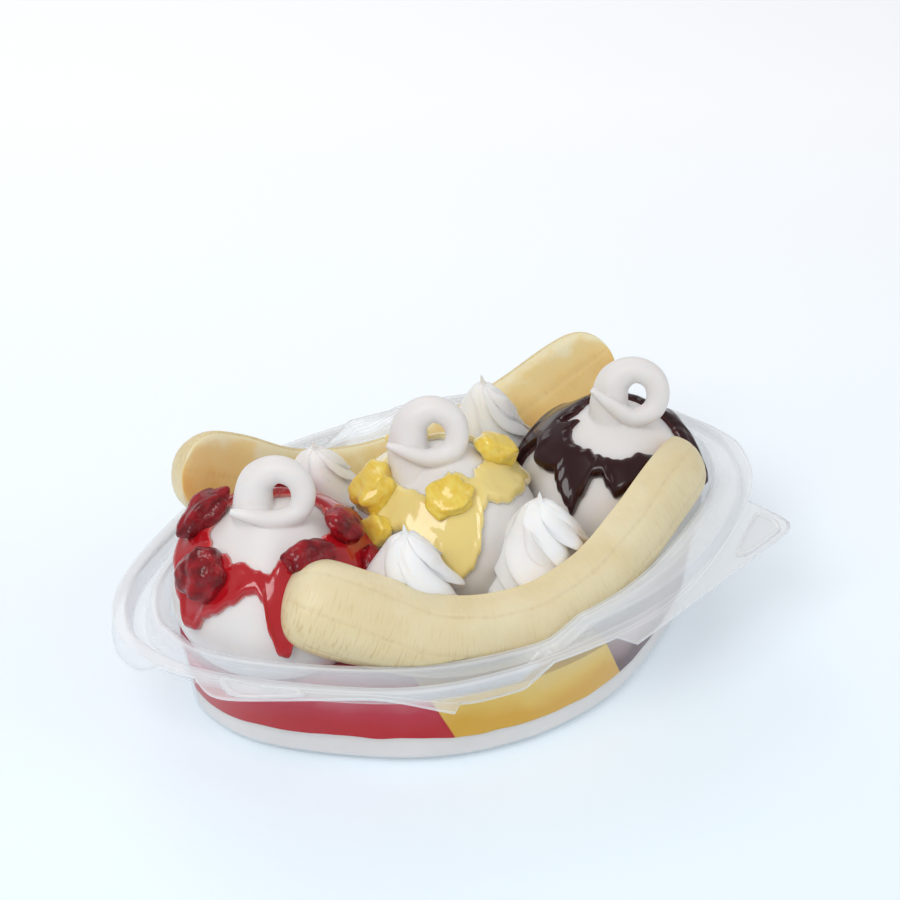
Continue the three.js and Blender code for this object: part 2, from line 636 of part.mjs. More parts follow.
const allSauce = filling((x, y) => bedTop(x, y) + GAP, sauceTop, [BED_TOP, CREASE_HEIGHT, SAUCE_LEVEL])
const borders = [-200, STRAWBERRY_TO_PINEAPPLE, PINEAPPLE_TO_CHOCOLATE, 200]
scoopNames.forEach((name, i) => {
  const share = allSauce.intersect(betweenBorders(borders[i] + GAP / 2, borders[i + 1] - GAP / 2))
  addPiece(`${name}_layer`, cutAway(share, bananaKeepOuts), COLOURS[name], 0.3)
})

const scoopKeepOuts = []
const curlKeepOuts = []
const coatKeepOuts = []
scoopNames.forEach((name) => {
  const scoop = SCOOPS[name]
  const body = scoopDome(scoop, 0).add(curl(scoop, 0))
  addPiece(`${name}_scoop`, cutAway(body, [...bananaKeepOuts, ...scoopKeepOuts]), COLOURS.vanilla, 0.55)
  scoopKeepOuts.push(scoopDome(scoop, 1.5 * GAP))
  curlKeepOuts.push(curl(scoop, GAP))
  coatKeepOuts.push(scoopDome(scoop, COAT_TOP + 2 * GAP))
})
scoopNames.forEach((name, i) => {
  const coat = sauceCoat(SCOOPS[name], COATS[name])
  const others = scoopKeepOuts.filter((_, k) => k !== i)
  const earlier = coatKeepOuts.slice(0, i)
  const solid = cutAway(coat, [...bananaKeepOuts, ...others, ...earlier, curlKeepOuts[i]])
  addPiece(`${name}_sauce`, solid, COLOURS[name], 0.15)
})

const fruitKeepOuts = []
function addFruit(name, pieces, scoopName, colour) {
  pieces.forEach((piece, i) => {
    const seed = 11 + 7 * i
    const lump = fruitPiece(SCOOPS[scoopName], piece, seed, 0)
    const others = coatKeepOuts.filter((_, k) => k !== scoopNames.indexOf(scoopName))
    const solid = cutAway(lump, [...bananaKeepOuts, ...others, ...curlKeepOuts, ...fruitKeepOuts])
    fruitKeepOuts.push(fruitPiece(SCOOPS[scoopName], piece, seed, 2 * GAP))
    addPiece(`${name}_${i + 1}`, solid, colour, 0.25)
  })
}
addFruit('strawberry_piece', STRAWBERRY_PIECES, 'strawberry', COLOURS.berry)
addFruit('pineapple_piece', PINEAPPLE_PIECES, 'pineapple', COLOURS.fruit)

Object.entries(ROSETTES).forEach(([name, cream]) => {
  const around = [...bananaKeepOuts, ...coatKeepOuts, ...curlKeepOuts, ...fruitKeepOuts]
  addPiece(name, cutAway(rosette(cream), around), COLOURS.cream, 0.6)
})

export default group
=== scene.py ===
"""A banana split in its clear tray, dressed over its CAD frame. Lengths are in metres."""

import math

import bpy
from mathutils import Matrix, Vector, noise


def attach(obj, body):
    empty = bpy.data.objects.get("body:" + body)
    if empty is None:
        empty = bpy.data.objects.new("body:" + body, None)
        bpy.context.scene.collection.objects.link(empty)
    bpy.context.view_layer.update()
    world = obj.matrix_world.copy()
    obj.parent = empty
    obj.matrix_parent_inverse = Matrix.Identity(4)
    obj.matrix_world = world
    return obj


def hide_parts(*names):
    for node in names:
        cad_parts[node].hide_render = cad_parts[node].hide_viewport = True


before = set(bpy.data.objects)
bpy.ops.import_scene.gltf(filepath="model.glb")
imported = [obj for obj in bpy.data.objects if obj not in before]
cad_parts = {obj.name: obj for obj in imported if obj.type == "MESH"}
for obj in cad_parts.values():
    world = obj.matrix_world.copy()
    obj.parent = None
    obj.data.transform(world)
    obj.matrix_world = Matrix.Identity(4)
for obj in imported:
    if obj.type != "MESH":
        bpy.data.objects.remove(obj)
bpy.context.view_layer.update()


# The tray. A clear plastic sheet drawn down over a mould: a long six-sided tub whose rim carries
# a ridge on its right half and a channel on its left half, with a finger tab on each front corner.
SHEET = 0.0009
RIM_HEIGHT = 0.042
BASE = (0.0895, 0.0628, 0.068, 0.95, 9)
WALL_TOP = (0.0995, 0.0632, 0.0695, 1.0, 9)
RIDGE = (0.1067, 0.0675, 0.081, 0.97, 8)
FLANGE = (0.1135, 0.0721, 0.0831, 0.95, 9.9)
BASE_ROUNDING = 0.005
WALL_HEIGHTS = (0.005, 0.015, 0.034, 0.041)
WALL_FLARE = (0, 0.1, 0.4, 1)
TABS = (
    (190, 246, ((0.0975, 178), (0.0806, 243.5))),
    (288, 345, ((0.0776, 22.5), (0.0809, -70.5))),
)
TRAY_COLUMNS = 300
EDGE_HIGHLIGHT = 2
PAD_HEIGHT = 0.0009
PAD_SIDES = 96
FINGER_PADS = (
    ((-92.4, -33.5), (-92.8, -40.6), (-88.6, -45.2), (-73.6, -52.2), (-73.4, -49.8), (-84, -42)),
    ((94.9, -38.2), (98.6, -43.2), (96.8, -49.4), (80.6, -55.2), (77.4, -52.8)),
)


def blend(a, b, share):
    return a + (b - a) * share


def clamp(value, low=0.0, high=1.0):
    return max(low, min(high, value))


def ease(low, high, value):
    share = clamp((value - low) / (high - low))
    return share * share * (3 - 2 * share)


def outline_reach(outline, angle):
    end, side, corner, turn, edge = outline
    c = abs(math.cos(angle))
    s = abs(math.sin(angle))
    slanted = c * math.cos(turn) + s * math.sin(turn)
    return sum(part**edge for part in (c / end, s / side, slanted / corner)) ** (-1 / edge)


def wall_reach(angle, z, inset):
    foot = outline_reach(BASE, angle)
    if z < BASE_ROUNDING:
        drop = BASE_ROUNDING - z
        return foot - BASE_ROUNDING + math.sqrt(max((BASE_ROUNDING - inset) ** 2 - drop**2, 0))
    flare = outline_reach(WALL_TOP, angle) - foot
    k = 0 if z < WALL_HEIGHTS[1] else 1 if z < WALL_HEIGHTS[2] else 2
    past = clamp((z - WALL_HEIGHTS[k]) / (WALL_HEIGHTS[k + 1] - WALL_HEIGHTS[k]))
    return foot + flare * blend(WALL_FLARE[k], WALL_FLARE[k + 1], past) - inset


def tab_edge(angle):
    degrees = math.degrees(angle) % 360
    edge = outline_reach(FLANGE, angle)
    for start, stop, sides in TABS:
        if start <= degrees <= stop:
            total = sum(
                (max(math.cos(angle - math.radians(facing)), 0) / reach) ** 30 for reach, facing in sides
            )
            edge = max(edge, total ** (-1 / 30))
    return edge


def tab_drop(angle):
    degrees = math.degrees(angle) % 360
    if degrees > 226:
        return ease(226, 252, degrees)
    return 1 - ease(184, 192, degrees)


def tray_line(angle):
    """The middle of the sheet at one heading, from the floor's centre out to the edge."""
    half = SHEET / 2
    top = outline_reach(WALL_TOP, angle)
    flange = outline_reach(FLANGE, angle)
    edge = tab_edge(angle)
    x = top * math.cos(angle)
    lift = clamp((x - 0.004) / 0.0105) * 0.005 - clamp(-x / 0.0085) * 0.007
    raised = max(lift, 0)
    share = raised / 0.005
    skirt = max(-lift, 0) * tab_drop(angle)
    lip = 0.0022 + 0.0024 * math.cos(angle) ** 2
    ridge = outline_reach(RIDGE, angle)
    foot = wall_reach(angle, BASE_ROUNDING, half)
    level = RIM_HEIGHT - half
    line = [(foot * part, half) for part in (0, 0.3, 0.6, 0.85)]
    bend = BASE_ROUNDING - half
    for k in range(7):
        turn = math.radians(15 * k)
        line.append((foot - bend + bend * math.sin(turn), BASE_ROUNDING - bend * math.cos(turn)))
    line += [(wall_reach(angle, z, half), z) for z in (0.010, 0.0142, 0.015, 0.0158, 0.022, 0.028, 0.034)]
    out = max(edge, flange + 0.0003)
    corners = [
        (top - half, RIM_HEIGHT - 0.001),
        (top - half + 0.0003, level + raised),
        (blend(top + 0.0032, (top + ridge) / 2, share), level + lift),
        (blend(flange - lip - 0.0012, ridge, share), level + lift),
        (blend(flange - lip, ridge + 0.0014, share), level),
        (flange - 0.0006, level),
        (flange + 0.0001, level - skirt),
        (out, level - skirt),
    ]
    corners.insert(2, (top + 0.0012, level + raised))
    # Each point's bend weight sets how much painted highlight whitens the plastic there; the outer edge gets
    # the most.
    bends = [0.0] * len(line)
    before = line[-1]
    for here, after in zip(corners, corners[1:]):
        line += rounded_corner(before, here, after, 0.0009)
        bends += [0.1, 0.7, 1.0, 0.7, 0.1]
        before = here
    start = line[-1]
    line += [(blend(start[0], out, k / 8), blend(start[1], level - skirt, k / 8)) for k in range(1, 9)]
    bends += [0.0] * 7 + [EDGE_HIGHLIGHT]
    return [(reach, z, bend) for (reach, z), bend in zip(line, bends)]


def rounded_corner(before, here, after, radius):
    """Five points that turn a corner of a line."""
    points = []
    for side in (before, after):
        length = math.dist(side, here)
        cut = min(radius, 0.42 * length) / max(length, 1e-9)
        points.append((blend(here[0], side[0], cut), blend(here[1], side[1], cut)))
    turn = []
    for k in range(5):
        t = k / 4
        turn.append(tuple(
            (1 - t) ** 2 * points[0][axis] + 2 * t * (1 - t) * here[axis] + t * t * points[1][axis]
            for axis in (0, 1)
        ))
    return turn


def wrapped_skin(name, columns, rows, place, mark=None):
    """A flat grid wrapped into a closed shape. place gives each crossing's point."""
    bpy.ops.object.select_all(action="DESELECT")
    bpy.ops.mesh.primitive_grid_add(x_subdivisions=columns, y_subdivisions=rows, size=1)
    skin = bpy.context.object
    skin.name = skin.data.name = name
    marks = skin.data.attributes.new("marks", "FLOAT_VECTOR", "POINT") if mark else None
    for vertex in skin.data.vertices:
        row, column = divmod(vertex.index, columns + 1)
        vertex.co = place(column, row)
        if mark:
            marks.data[vertex.index].vector = mark(column, row)
    bpy.ops.object.mode_set(mode="EDIT")
    bpy.ops.mesh.select_all(action="SELECT")
    bpy.ops.mesh.remove_doubles(threshold=0.000002)
    bpy.ops.mesh.normals_make_consistent(inside=False)
    bpy.ops.object.mode_set(mode="OBJECT")
    bpy.ops.object.shade_smooth()
    return skin


def finish_modifier(piece, kind, **settings):
    """Adds a modifier to a piece and applies it."""
    modifier = piece.modifiers.new(kind.title(), kind)
    for key, value in settings.items():
        setattr(modifier, key, value)
    bpy.ops.object.select_all(action="DESELECT")
    piece.select_set(True)
    bpy.context.view_layer.objects.active = piece
    bpy.ops.object.modifier_apply(modifier=modifier.name)


def new_material(name):
    material = bpy.data.materials.new(name)
    material.use_nodes = True
    tree = material.node_tree
    return material, tree.nodes, tree.links, tree.nodes["Principled BSDF"]


def colour_ramp(nodes, first, last, *between):
    """A ramp through stops of (position, colour), given as its two ends and then the rest."""
    ramp = nodes.new("ShaderNodeValToRGB")
    for element, (position, colour) in zip(ramp.color_ramp.elements, (first, last)):
        element.position = position
        element.color = (*colour, 1)
    for position, colour in between:
        ramp.color_ramp.elements.new(position).color = (*colour, 1)
    return ramp


def noise_texture(nodes, scale, detail):
    texture = nodes.new("ShaderNodeTexNoise")
    texture.inputs["Scale"].default_value = scale
    texture.inputs["Detail"].default_value = detail
    return texture


def bump(nodes, strength, distance):
    relief = nodes.new("ShaderNodeBump")
    relief.inputs["Strength"].default_value = strength
    relief.inputs["Distance"].default_value = distance
    return relief


def scale_and_add(nodes, factor):
    maths = nodes.new("ShaderNodeMath")
    maths.operation = "MULTIPLY_ADD"
    maths.inputs[1].default_value = factor
    return maths


def soften(shader, weight, radius):
    """Light that enters the food and comes out a little further on."""
    shader.inputs["Subsurface Weight"].default_value = weight
    shader.inputs["Subsurface Radius"].default_value = radius
    shader.inputs["Subsurface Scale"].default_value = 1.0


tray_lines = []
for column in range(TRAY_COLUMNS):
    run = column / TRAY_COLUMNS * 2 * math.pi
    angle = math.atan2(0.8 * math.sin(run), math.cos(run))
    tray_lines.append((angle, tray_line(angle)))
tray_rows = len(tray_lines[0][1]) - 1


def tray_point(column, row):
    angle, line = tray_lines[column % TRAY_COLUMNS]
    reach, z, _ = line[row]
    return Vector((reach * math.cos(angle), reach * math.sin(angle), z))


def tray_mark(column, row):
    """How sharply the sheet bends here, and how far up the rim it is: the plastic is painted whiter with
    both, as painted highlight on the bends and painted sheen on the rim.
    """
    _, z, bend = tray_lines[column % TRAY_COLUMNS][1][row]
    return Vector((bend, ease(0.030, 0.040, z) if row > 12 else 0, 0))


def pad_outline(corners, t):
    """A point on a smooth closed line near the given corners."""
    count = len(corners)
    k = int(t * count) % count
    w = t * count - int(t * count)
    a, b, c, d = (Vector(corners[(k + step) % count]) for step in (-1, 0, 1, 2))
    tension = 0.35
    return (
        b + (c - a) * tension * w
        + (b * -3 + c * 3 - (c - a) * tension * 2 - (d - b) * tension) * w * w
        + (b * 2 - c * 2 + (c - a) * tension + (d - b) * tension) * w**3
    )


def pad_skin(corners):
    """A raised finger pad: a rolled border round a slightly lower field."""
    middle = sum((Vector(corner) for corner in corners), Vector((0, 0))) / len(corners)
    profile = (
        (0.0, 0.55), (0.4, 0.55), (0.72, 0.55), (0.79, 0.6), (0.84, 0.85), (0.89, 1.0), (0.94, 0.95),
        (0.98, 0.6), (1.0, 0.1), (1.0, -0.35), (0.5, -0.35), (0.0, -0.35),
    )

    def place(column, row):
        share, rise = profile[row]
        turn = column % PAD_SIDES / PAD_SIDES
        spot = middle + (pad_outline(corners, turn) - middle) * share
        return Vector((spot.x / 1000, spot.y / 1000, RIM_HEIGHT + PAD_HEIGHT * rise))

    def mark(column, row):
        # The rolled border gets painted highlight, and the whole pad gets the rim's painted sheen.
        return Vector((EDGE_HIGHLIGHT if profile[row][0] > 0.8 else 0, 1, 0))

    return wrapped_skin("finger_pad", PAD_SIDES, len(profile) - 1, place, mark)


tray = wrapped_skin("tray_sheet", TRAY_COLUMNS, tray_rows, tray_point, tray_mark)
finish_modifier(tray, "SOLIDIFY", thickness=SHEET, offset=0.0, use_even_offset=True)
pads = [pad_skin(corners) for corners in FINGER_PADS]
bpy.ops.object.select_all(action="DESELECT")
for piece in (tray, *pads):
    piece.select_set(True)
bpy.context.view_layer.objects.active = tray
bpy.ops.object.join()

clear_plastic, nodes, links, shader = new_material("clear_tray_plastic")
shader.inputs["Base Color"].default_value = (0.95, 0.96, 0.97, 1)
shader.inputs["Roughness"].default_value = 0.07
shader.inputs["IOR"].default_value = 1.5
see_through = nodes.new("ShaderNodeBsdfTransparent")
see_through.inputs["Color"].default_value = (0.975, 0.977, 0.98, 1)
slope = nodes.new("ShaderNodeLayerWeight")
slope.inputs["Blend"].default_value = 0.35
haze = nodes.new("ShaderNodeMapRange")
haze.inputs["From Min"].default_value = 0.15
haze.inputs["To Min"].default_value = 0.01
haze.inputs["To Max"].default_value = 0.38
marks = nodes.new("ShaderNodeAttribute")
marks.attribute_name = "marks"
shares = nodes.new("ShaderNodeSeparateXYZ")
# The sheet is painted whiter where it bends sharply and up on the rim: painted highlights on the bends and
# painted sheen on the rim, on top of the haze at grazing angles.
rim_sheen_and_haze = scale_and_add(nodes, 0.24)
bend_highlight = scale_and_add(nodes, 0.13)
bend_highlight.use_clamp = True
sheet = nodes.new("ShaderNodeMixShader")
links.new(slope.outputs["Facing"], haze.inputs["Value"])
links.new(marks.outputs["Vector"], shares.inputs["Vector"])
links.new(shares.outputs["Y"], rim_sheen_and_haze.inputs[0])
links.new(haze.outputs["Result"], rim_sheen_and_haze.inputs[2])
links.new(shares.outputs["X"], bend_highlight.inputs[0])
links.new(rim_sheen_and_haze.outputs["Value"], bend_highlight.inputs[2])
links.new(bend_highlight.outputs["Value"], sheet.inputs["Fac"])
links.new(see_through.outputs["BSDF"], sheet.inputs[1])
links.new(shader.outputs["BSDF"], sheet.inputs[2])
links.new(sheet.outputs["Shader"], nodes["Material Output"].inputs["Surface"])
tray.data.materials.append(clear_plastic)
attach(tray, "root")
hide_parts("tray")


# The bed of vanilla and the three sauces that lie on it. Each fills the tub from wall to wall, so
# it is a drum that reaches just into the plastic, and the sauces are parted by slanting cuts.
BED_TOP = 0.0105
SAUCE_LEVEL = 0.028
BORDERS = (-0.2, -0.026, 0.035, 0.2)
BORDER_LEAN = -0.42


def bed_top(x, y):
    wave = 0.0008 * math.sin(x * 45 + 1.2) * math.cos(y * 50)
    return BED_TOP + wave + 0.0007 * noise.noise(Vector((x * 120, y * 120, 0.3)))


def sauce_top(x, y, share):
    ripple = 0.6 + 0.4 * math.sin(x * 110) * math.cos(y * 130)
    return SAUCE_LEVEL - 0.0016 * clamp((share - 0.7) / 0.3) * ripple


def drum(name, lower, upper, heights):
    """A filling between two faces that follows the tub's wall."""
    columns = 240
    inset = SHEET - 0.00015
    shares = (0.0, 0.25, 0.5, 0.7, 0.82, 0.9, 0.96, 0.99)
    rings = [(share, heights[-1], upper) for share in shares]
    rings += [(1, z, None) for z in reversed(heights)]
    rings += [(share, heights[0], lower) for share in reversed(shares)]

    def place(column, row):
        angle = (column % columns) / columns * 2 * math.pi
        share, height, face = rings[row]
        reach = wall_reach(angle, height, inset) * share
        x = reach * math.cos(angle)
        y = reach * math.sin(angle)
        z = height if face is None else face(x, y, share)
        if face is None and height in (heights[0], heights[-1]):
            z = (lower if height == heights[0] else upper)(x, y, 1)
        return Vector((x, y, z))

    return wrapped_skin(name, columns, len(rings) - 1, place)


def milky_material(name, colour, roughness):
    """Soft-serve or cream: pale, softly lit through, with a barely uneven surface."""
    material, nodes, links, shader = new_material(name)
    shader.inputs["Roughness"].default_value = roughness
    shader.inputs["IOR"].default_value = 1.4
    soften(shader, 0.35, (0.004, 0.003, 0.0022))
    place = nodes.new("ShaderNodeTexCoord")
    cloud = noise_texture(nodes, 60, 3)
    tone = colour_ramp(nodes, (0.35, [part * 0.955 for part in colour]), (0.65, colour))
    grain = noise_texture(nodes, 420, 4)
    relief = bump(nodes, 0.12, 0.0004)
    for texture in (cloud, grain):
        links.new(place.outputs["Object"], texture.inputs["Vector"])
    links.new(cloud.outputs["Fac"], tone.inputs["Fac"])
    links.new(tone.outputs["Color"], shader.inputs["Base Color"])
    links.new(grain.outputs["Fac"], relief.inputs["Height"])
    links.new(relief.outputs["Normal"], shader.inputs["Normal"])
    return material


vanilla = milky_material("vanilla_soft_serve", (0.83, 0.8, 0.78), 0.42)

bed = drum(
    "vanilla_bed",
    lambda x, y, share: SHEET - 0.00015,
    lambda x, y, share: bed_top(x, y),
    (0.0009, 0.0011, 0.0015, 0.0021, 0.0029, 0.0039, 0.005, 0.0078, 0.0105),
)
bed.data.materials.append(vanilla)
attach(bed, "root")
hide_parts("ice_cream_bed")


def layer_material(name, deep, middle, pale):
    """Sauce behind the wall: darkest low down, milky where it has mixed with ice cream."""
    material, nodes, links, shader = new_material(name)
    shader.inputs["Roughness"].default_value = 0.3
    shader.inputs["Specular IOR Level"].default_value = 0.1
    soften(shader, 0.2, (0.004, 0.0015, 0.001))
    place = nodes.new("ShaderNodeTexCoord")
    parts = nodes.new("ShaderNodeSeparateXYZ")
    swirl = noise_texture(nodes, 55, 4)
    swirl.inputs["Distortion"].default_value = 0.6
    rise = nodes.new("ShaderNodeMapRange")
    rise.inputs["From Min"].default_value = BED_TOP
    rise.inputs["From Max"].default_value = 0.036
    waver = scale_and_add(nodes, 0.5)
    tone = colour_ramp(nodes, (0.42, deep), (1, pale), (0.64, middle))
    links.new(place.outputs["Object"], swirl.inputs["Vector"])
    links.new(place.outputs["Object"], parts.inputs["Vector"])
    links.new(parts.outputs["Z"], rise.inputs["Value"])
    links.new(swirl.outputs["Fac"], waver.inputs[0])
    links.new(rise.outputs["Result"], waver.inputs[2])
    links.new(waver.outputs["Value"], tone.inputs["Fac"])
    links.new(tone.outputs["Color"], shader.inputs["Base Color"])
    return material


LAYERS = {
    "strawberry": layer_material(
        "strawberry_behind_wall", (0.52, 0.008, 0.018), (0.56, 0.03, 0.06), (0.68, 0.2, 0.24)
    ),
    "pineapple": layer_material(
        "pineapple_behind_wall", (0.76, 0.42, 0.04), (0.84, 0.57, 0.12), (0.86, 0.68, 0.3)
    ),
    "chocolate": layer_material(
        "chocolate_behind_wall", (0.1, 0.035, 0.04), (0.34, 0.23, 0.23), (0.5, 0.41, 0.41)
    ),
}
for (flavour, material), left, right in zip(LAYERS.items(), BORDERS, BORDERS[1:]):
    layer = drum(
        f"{flavour}_filling",
        lambda x, y, share: bed_top(x, y),
        sauce_top,
        (0.0105, 0.0128, 0.015, 0.0182, 0.0215, 0.025, 0.028),
    )
    for border, side in ((left, -1), (right, 1)):
        bpy.ops.object.mode_set(mode="EDIT")
        bpy.ops.mesh.select_all(action="SELECT")
        bpy.ops.mesh.bisect(
            plane_co=(border, 0, BED_TOP),
            plane_no=(side * math.cos(BORDER_LEAN), 0, -side * math.sin(BORDER_LEAN)),
            use_fill=True,
            clear_outer=True,
        )
        bpy.ops.object.mode_set(mode="OBJECT")
    bpy.ops.object.shade_smooth_by_angle(angle=math.radians(50))
    layer.data.materials.append(material)
    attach(layer, "root")
    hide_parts(f"{flavour}_layer")


# The scoops. Soft-serve set down in three domes, each drawn up at its middle into a rope that
# curls over, comes down and crosses in front to a thin tip.
SCOOPS = {
    "strawberry": {
        "centre": (-59.5, 0, 40.5), "round": 32.3, "height": 29, "curl": (-56.4, -2, 77.3), "tip": -1.2
    },
    "pineapple": {
        "centre": (1, 0, 39.5), "round": 31.2, "height": 32, "curl": (-2, 1.4, 80.4), "tip": 0.5
    },
    "chocolate": {
        "centre": (61, -2.5, 39.5), "round": 30.6, "height": 30, "curl": (67.4, -5.8, 78.6), "tip": 5.6
    },
}
CURL_HEADING = Vector((-0.459, -0.888, 0))
CURL_LEAN = math.radians(12)
DOME_SIDES = 120
DOME_ROWS = 60
SOFT_VOXEL = 0.00045
CURL_ROPE = (
    (-6, -17, -1, 9.3), (-8.2, -10, -1, 7.3), (-9, -2, -1, 6.1), (-7.2, 4.6, -0.8, 5.4),
    (-1.4, 8.1, -0.2, 4.3), (4.4, 6, 0.6, 4), (6.5, 0.9, 1.4, 3.8), (4.8, -4, 2.8, 3.6),
    (-1.6, -5.2, 5, 3.1),
)


def on_scoop(scoop, heading, slope, grow):
    """A point on a scoop, grown outwards by a distance in millimetres."""
    peak = 4 * math.exp(-((slope / 0.42) ** 2))
    wobble = 0.6 * math.sin(3 * heading + scoop["round"]) * math.sin(slope)
    out = scoop["round"] + grow + wobble
    x, y, z = scoop["centre"]
    return Vector((
        x + out * math.sin(slope) * math.cos(heading),
        y + out * math.sin(slope) * math.sin(heading),
        z + (scoop["height"] + grow + peak) * math.cos(slope),
    )) / 1000


def inside_tub(point, room):
    """A point moved in, where it must be, to clear the tray's wall."""
    if point.z > RIM_HEIGHT:
        return point
    limit = wall_reach(math.atan2(point.y, point.x), point.z, SHEET + room)
    out = math.hypot(point.x, point.y)
    if out > limit:
        point.x *= limit / out
        point.y *= limit / out
    return point


def smooth_path(points, t):
    """A point at a share of a centripetal curve through the given points."""
    last = len(points) - 1
    k = min(int(last * t), last - 1)
    w = last * t - k
    b, c = points[k], points[k + 1]
    a = points[k - 1] if k else b * 2 - c
    d = points[k + 2] if k + 2 <= last else c * 2 - b
    ab, bc, cd = ((q - p).length ** 0.5 for p, q in ((a, b), (b, c), (c, d)))
    leave = ((b - a) / ab - (c - a) / (ab + bc) + (c - b) / bc) * bc
    arrive = ((c - b) / bc - (d - b) / (bc + cd) + (d - c) / cd) * bc
    square = c * 3 - b * 3 - leave * 2 - arrive
    cube = b * 2 - c * 2 + leave + arrive
    return b + leave * w + square * w * w + cube * w**3


def rope_skin(name, centres, radii, sides, steps):
    """A round rope along a path, closed at both ends."""
    path = [smooth_path(centres, k / steps) for k in range(steps + 1)]
    across = Vector((0, 0, 1)).cross(path[1] - path[0]).normalized()
    rings = []
    for k, middle in enumerate(path):
        tangent = (path[min(k + 1, steps)] - path[max(k - 1, 0)]).normalized()
        across = (across - tangent * across.dot(tangent)).normalized()
        place = k / steps * (len(radii) - 1)
        low = min(int(place), len(radii) - 2)
        radius = blend(radii[low], radii[low + 1], place - low)
        rings.append((middle, across.copy(), tangent.cross(across), radius))

    def place(column, row):
        middle, side, up, radius = rings[clamp(row - 1, 0, steps)]
        if row in (0, steps + 2):
            return middle
        turn = (column % sides) / sides * 2 * math.pi
        return middle + side * (radius * math.cos(turn)) + up * (radius * math.sin(turn))

    return wrapped_skin(name, sides, steps + 2, place)


def fused(name, pieces, voxel, smoothing):
    """Pieces run into one soft body."""
    bpy.ops.object.select_all(action="DESELECT")
    for piece in pieces:
        piece.select_set(True)
    bpy.context.view_layer.objects.active = pieces[0]
    bpy.ops.object.join()
    body = bpy.context.object
    body.name = body.data.name = name
    finish_modifier(body, "REMESH", mode="VOXEL", voxel_size=voxel)
    finish_modifier(body, "SMOOTH", factor=0.5, iterations=smoothing)
    bpy.ops.object.select_all(action="DESELECT")
    body.select_set(True)
    bpy.ops.object.shade_smooth()
    return body


for flavour, scoop in SCOOPS.items():
    floor = SAUCE_LEVEL + 0.0001
    lowest = math.acos((floor * 1000 - scoop["centre"][2]) / scoop["height"])

    def dome_point(column, row):
        if row > DOME_ROWS:
            return Vector((scoop["centre"][0] / 1000, scoop["centre"][1] / 1000, floor))
        heading = (column % DOME_SIDES) / DOME_SIDES * 2 * math.pi
        point = on_scoop(scoop, heading, lowest * row / DOME_ROWS, 0)
        point += (point - Vector(scoop["centre"]) / 1000).normalized() * 0.0003 * noise.noise(point * 90)
        if row == DOME_ROWS:
            point.z = floor
        return inside_tub(point, 0.0002)

    dome = wrapped_skin("dome", DOME_SIDES, DOME_ROWS + 1, dome_point)
    across = Vector((0, 0, 1)).cross(CURL_HEADING).normalized()
    up = Vector((0, 0, math.cos(CURL_LEAN))) - CURL_HEADING * math.sin(CURL_LEAN)
    tail = scoop["tip"]
    rows = CURL_ROPE + ((-9.6, -2.2 + 0.5 * tail, 6.9, 2.2), (-15.5, tail, 7.2, 1))
    centres = [
        (Vector(scoop["curl"]) + across * a + up * b + CURL_HEADING * c) / 1000 for a, b, c, _ in rows
    ]
    curl = rope_skin("curl", centres, [row[3] / 1000 for row in rows], 28, 130)
    body = fused(f"{flavour}_soft_serve", [dome, curl], SOFT_VOXEL, 3)
    body.data.materials.append(vanilla)
    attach(body, "root")
    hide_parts(f"{flavour}_scoop")


# The sauces on the scoops. Each is ladled round the curl and runs down in drips: strawberry and
# pineapple are clear syrups, chocolate is thick and nearly black. Rows: heading, begin, end.
COATS = {
    "strawberry": (
        (-175, 39, 76), (-167, 37, 88), (-161, 35, 86), (-155, 36, 74), (-150, 37, 70), (-140, 36, 62),
        (-131, 37, 54), (-125, 38, 53), (-120, 40, 57), (-116, 40, 76), (-112, 37, 88), (-107, 33, 90),
        (-103, 31, 78), (-96, 30, 66), (-85, 29, 62), (-60, 32, 72), (-42, 33, 76), (-28, 33, 68),
        (-10, 29, 66), (12, 24, 62), (34, 9, 74), (62, 3, 58), (88, 9, 72), (112, 26, 66), (142, 28, 60),
        (165, 36, 66),
    ),
    "pineapple": (
        (-172, 33, 58), (-165, 33, 63), (-158, 32, 58), (-150, 31, 55), (-142, 31, 58), (-135, 32, 61),
        (-126, 27, 65), (-121, 20, 70), (-115, 18, 74), (-110, 18, 79), (-103, 18, 74), (-98, 19, 66),
        (-92, 20, 52), (-86, 22, 43), (-77, 23, 40), (-68, 21, 43), (-58, 20, 47), (-30, 22, 52),
        (-10, 23, 62), (5, 24, 72), (36, 14, 60), (66, 7, 66), (92, 14, 66), (118, 30, 58), (152, 32, 64),
    ),
    "chocolate": (
        (-178, 31, 56), (-168, 32, 53), (-163, 32, 58), (-158, 32, 63), (-150, 31, 69), (-146, 32, 74),
        (-142, 33, 62), (-137, 33, 48), (-130, 34, 47), (-125, 34, 52), (-119, 34, 58), (-108, 34, 54),
        (-92, 33, 46), (-70, 38, 50), (-54, 47, 60), (-46, 49, 68), (-41, 47, 76), (-33, 44, 66),
        (-22, 39, 58), (-12, 37, 52), (8, 31, 52), (22, 26, 60), (45, 25, 52), (75, 25, 66),
        (105, 22, 54), (128, 20, 60), (140, 23, 74), (146, 30, 88), (151, 30, 62), (156, 27, 50),
        (163, 22, 52), (170, 28, 57),
    ),
}
COAT_COLUMNS = 360
COAT_OUTER = 30
COAT_INNER = 6
COAT_THICKNESS = {"strawberry": 2.3, "pineapple": 1.9, "chocolate": 2.5}
COAT_UPPER_BEVEL = 3.4
COAT_LOWER_BEVEL = 2.6


def coat_edges(rows, heading):
    degrees = math.degrees(heading)
    for (start, upper_a, lower_a), (stop, upper_b, lower_b) in zip(rows, rows[1:] + rows[:1]):
        span = (stop - start) % 360
        past = (degrees - start) % 360
        if past <= span:
            share = ease(0, 1, past / span)
            return math.radians(blend(upper_a, upper_b, share)), math.radians(blend(lower_a, lower_b, share))


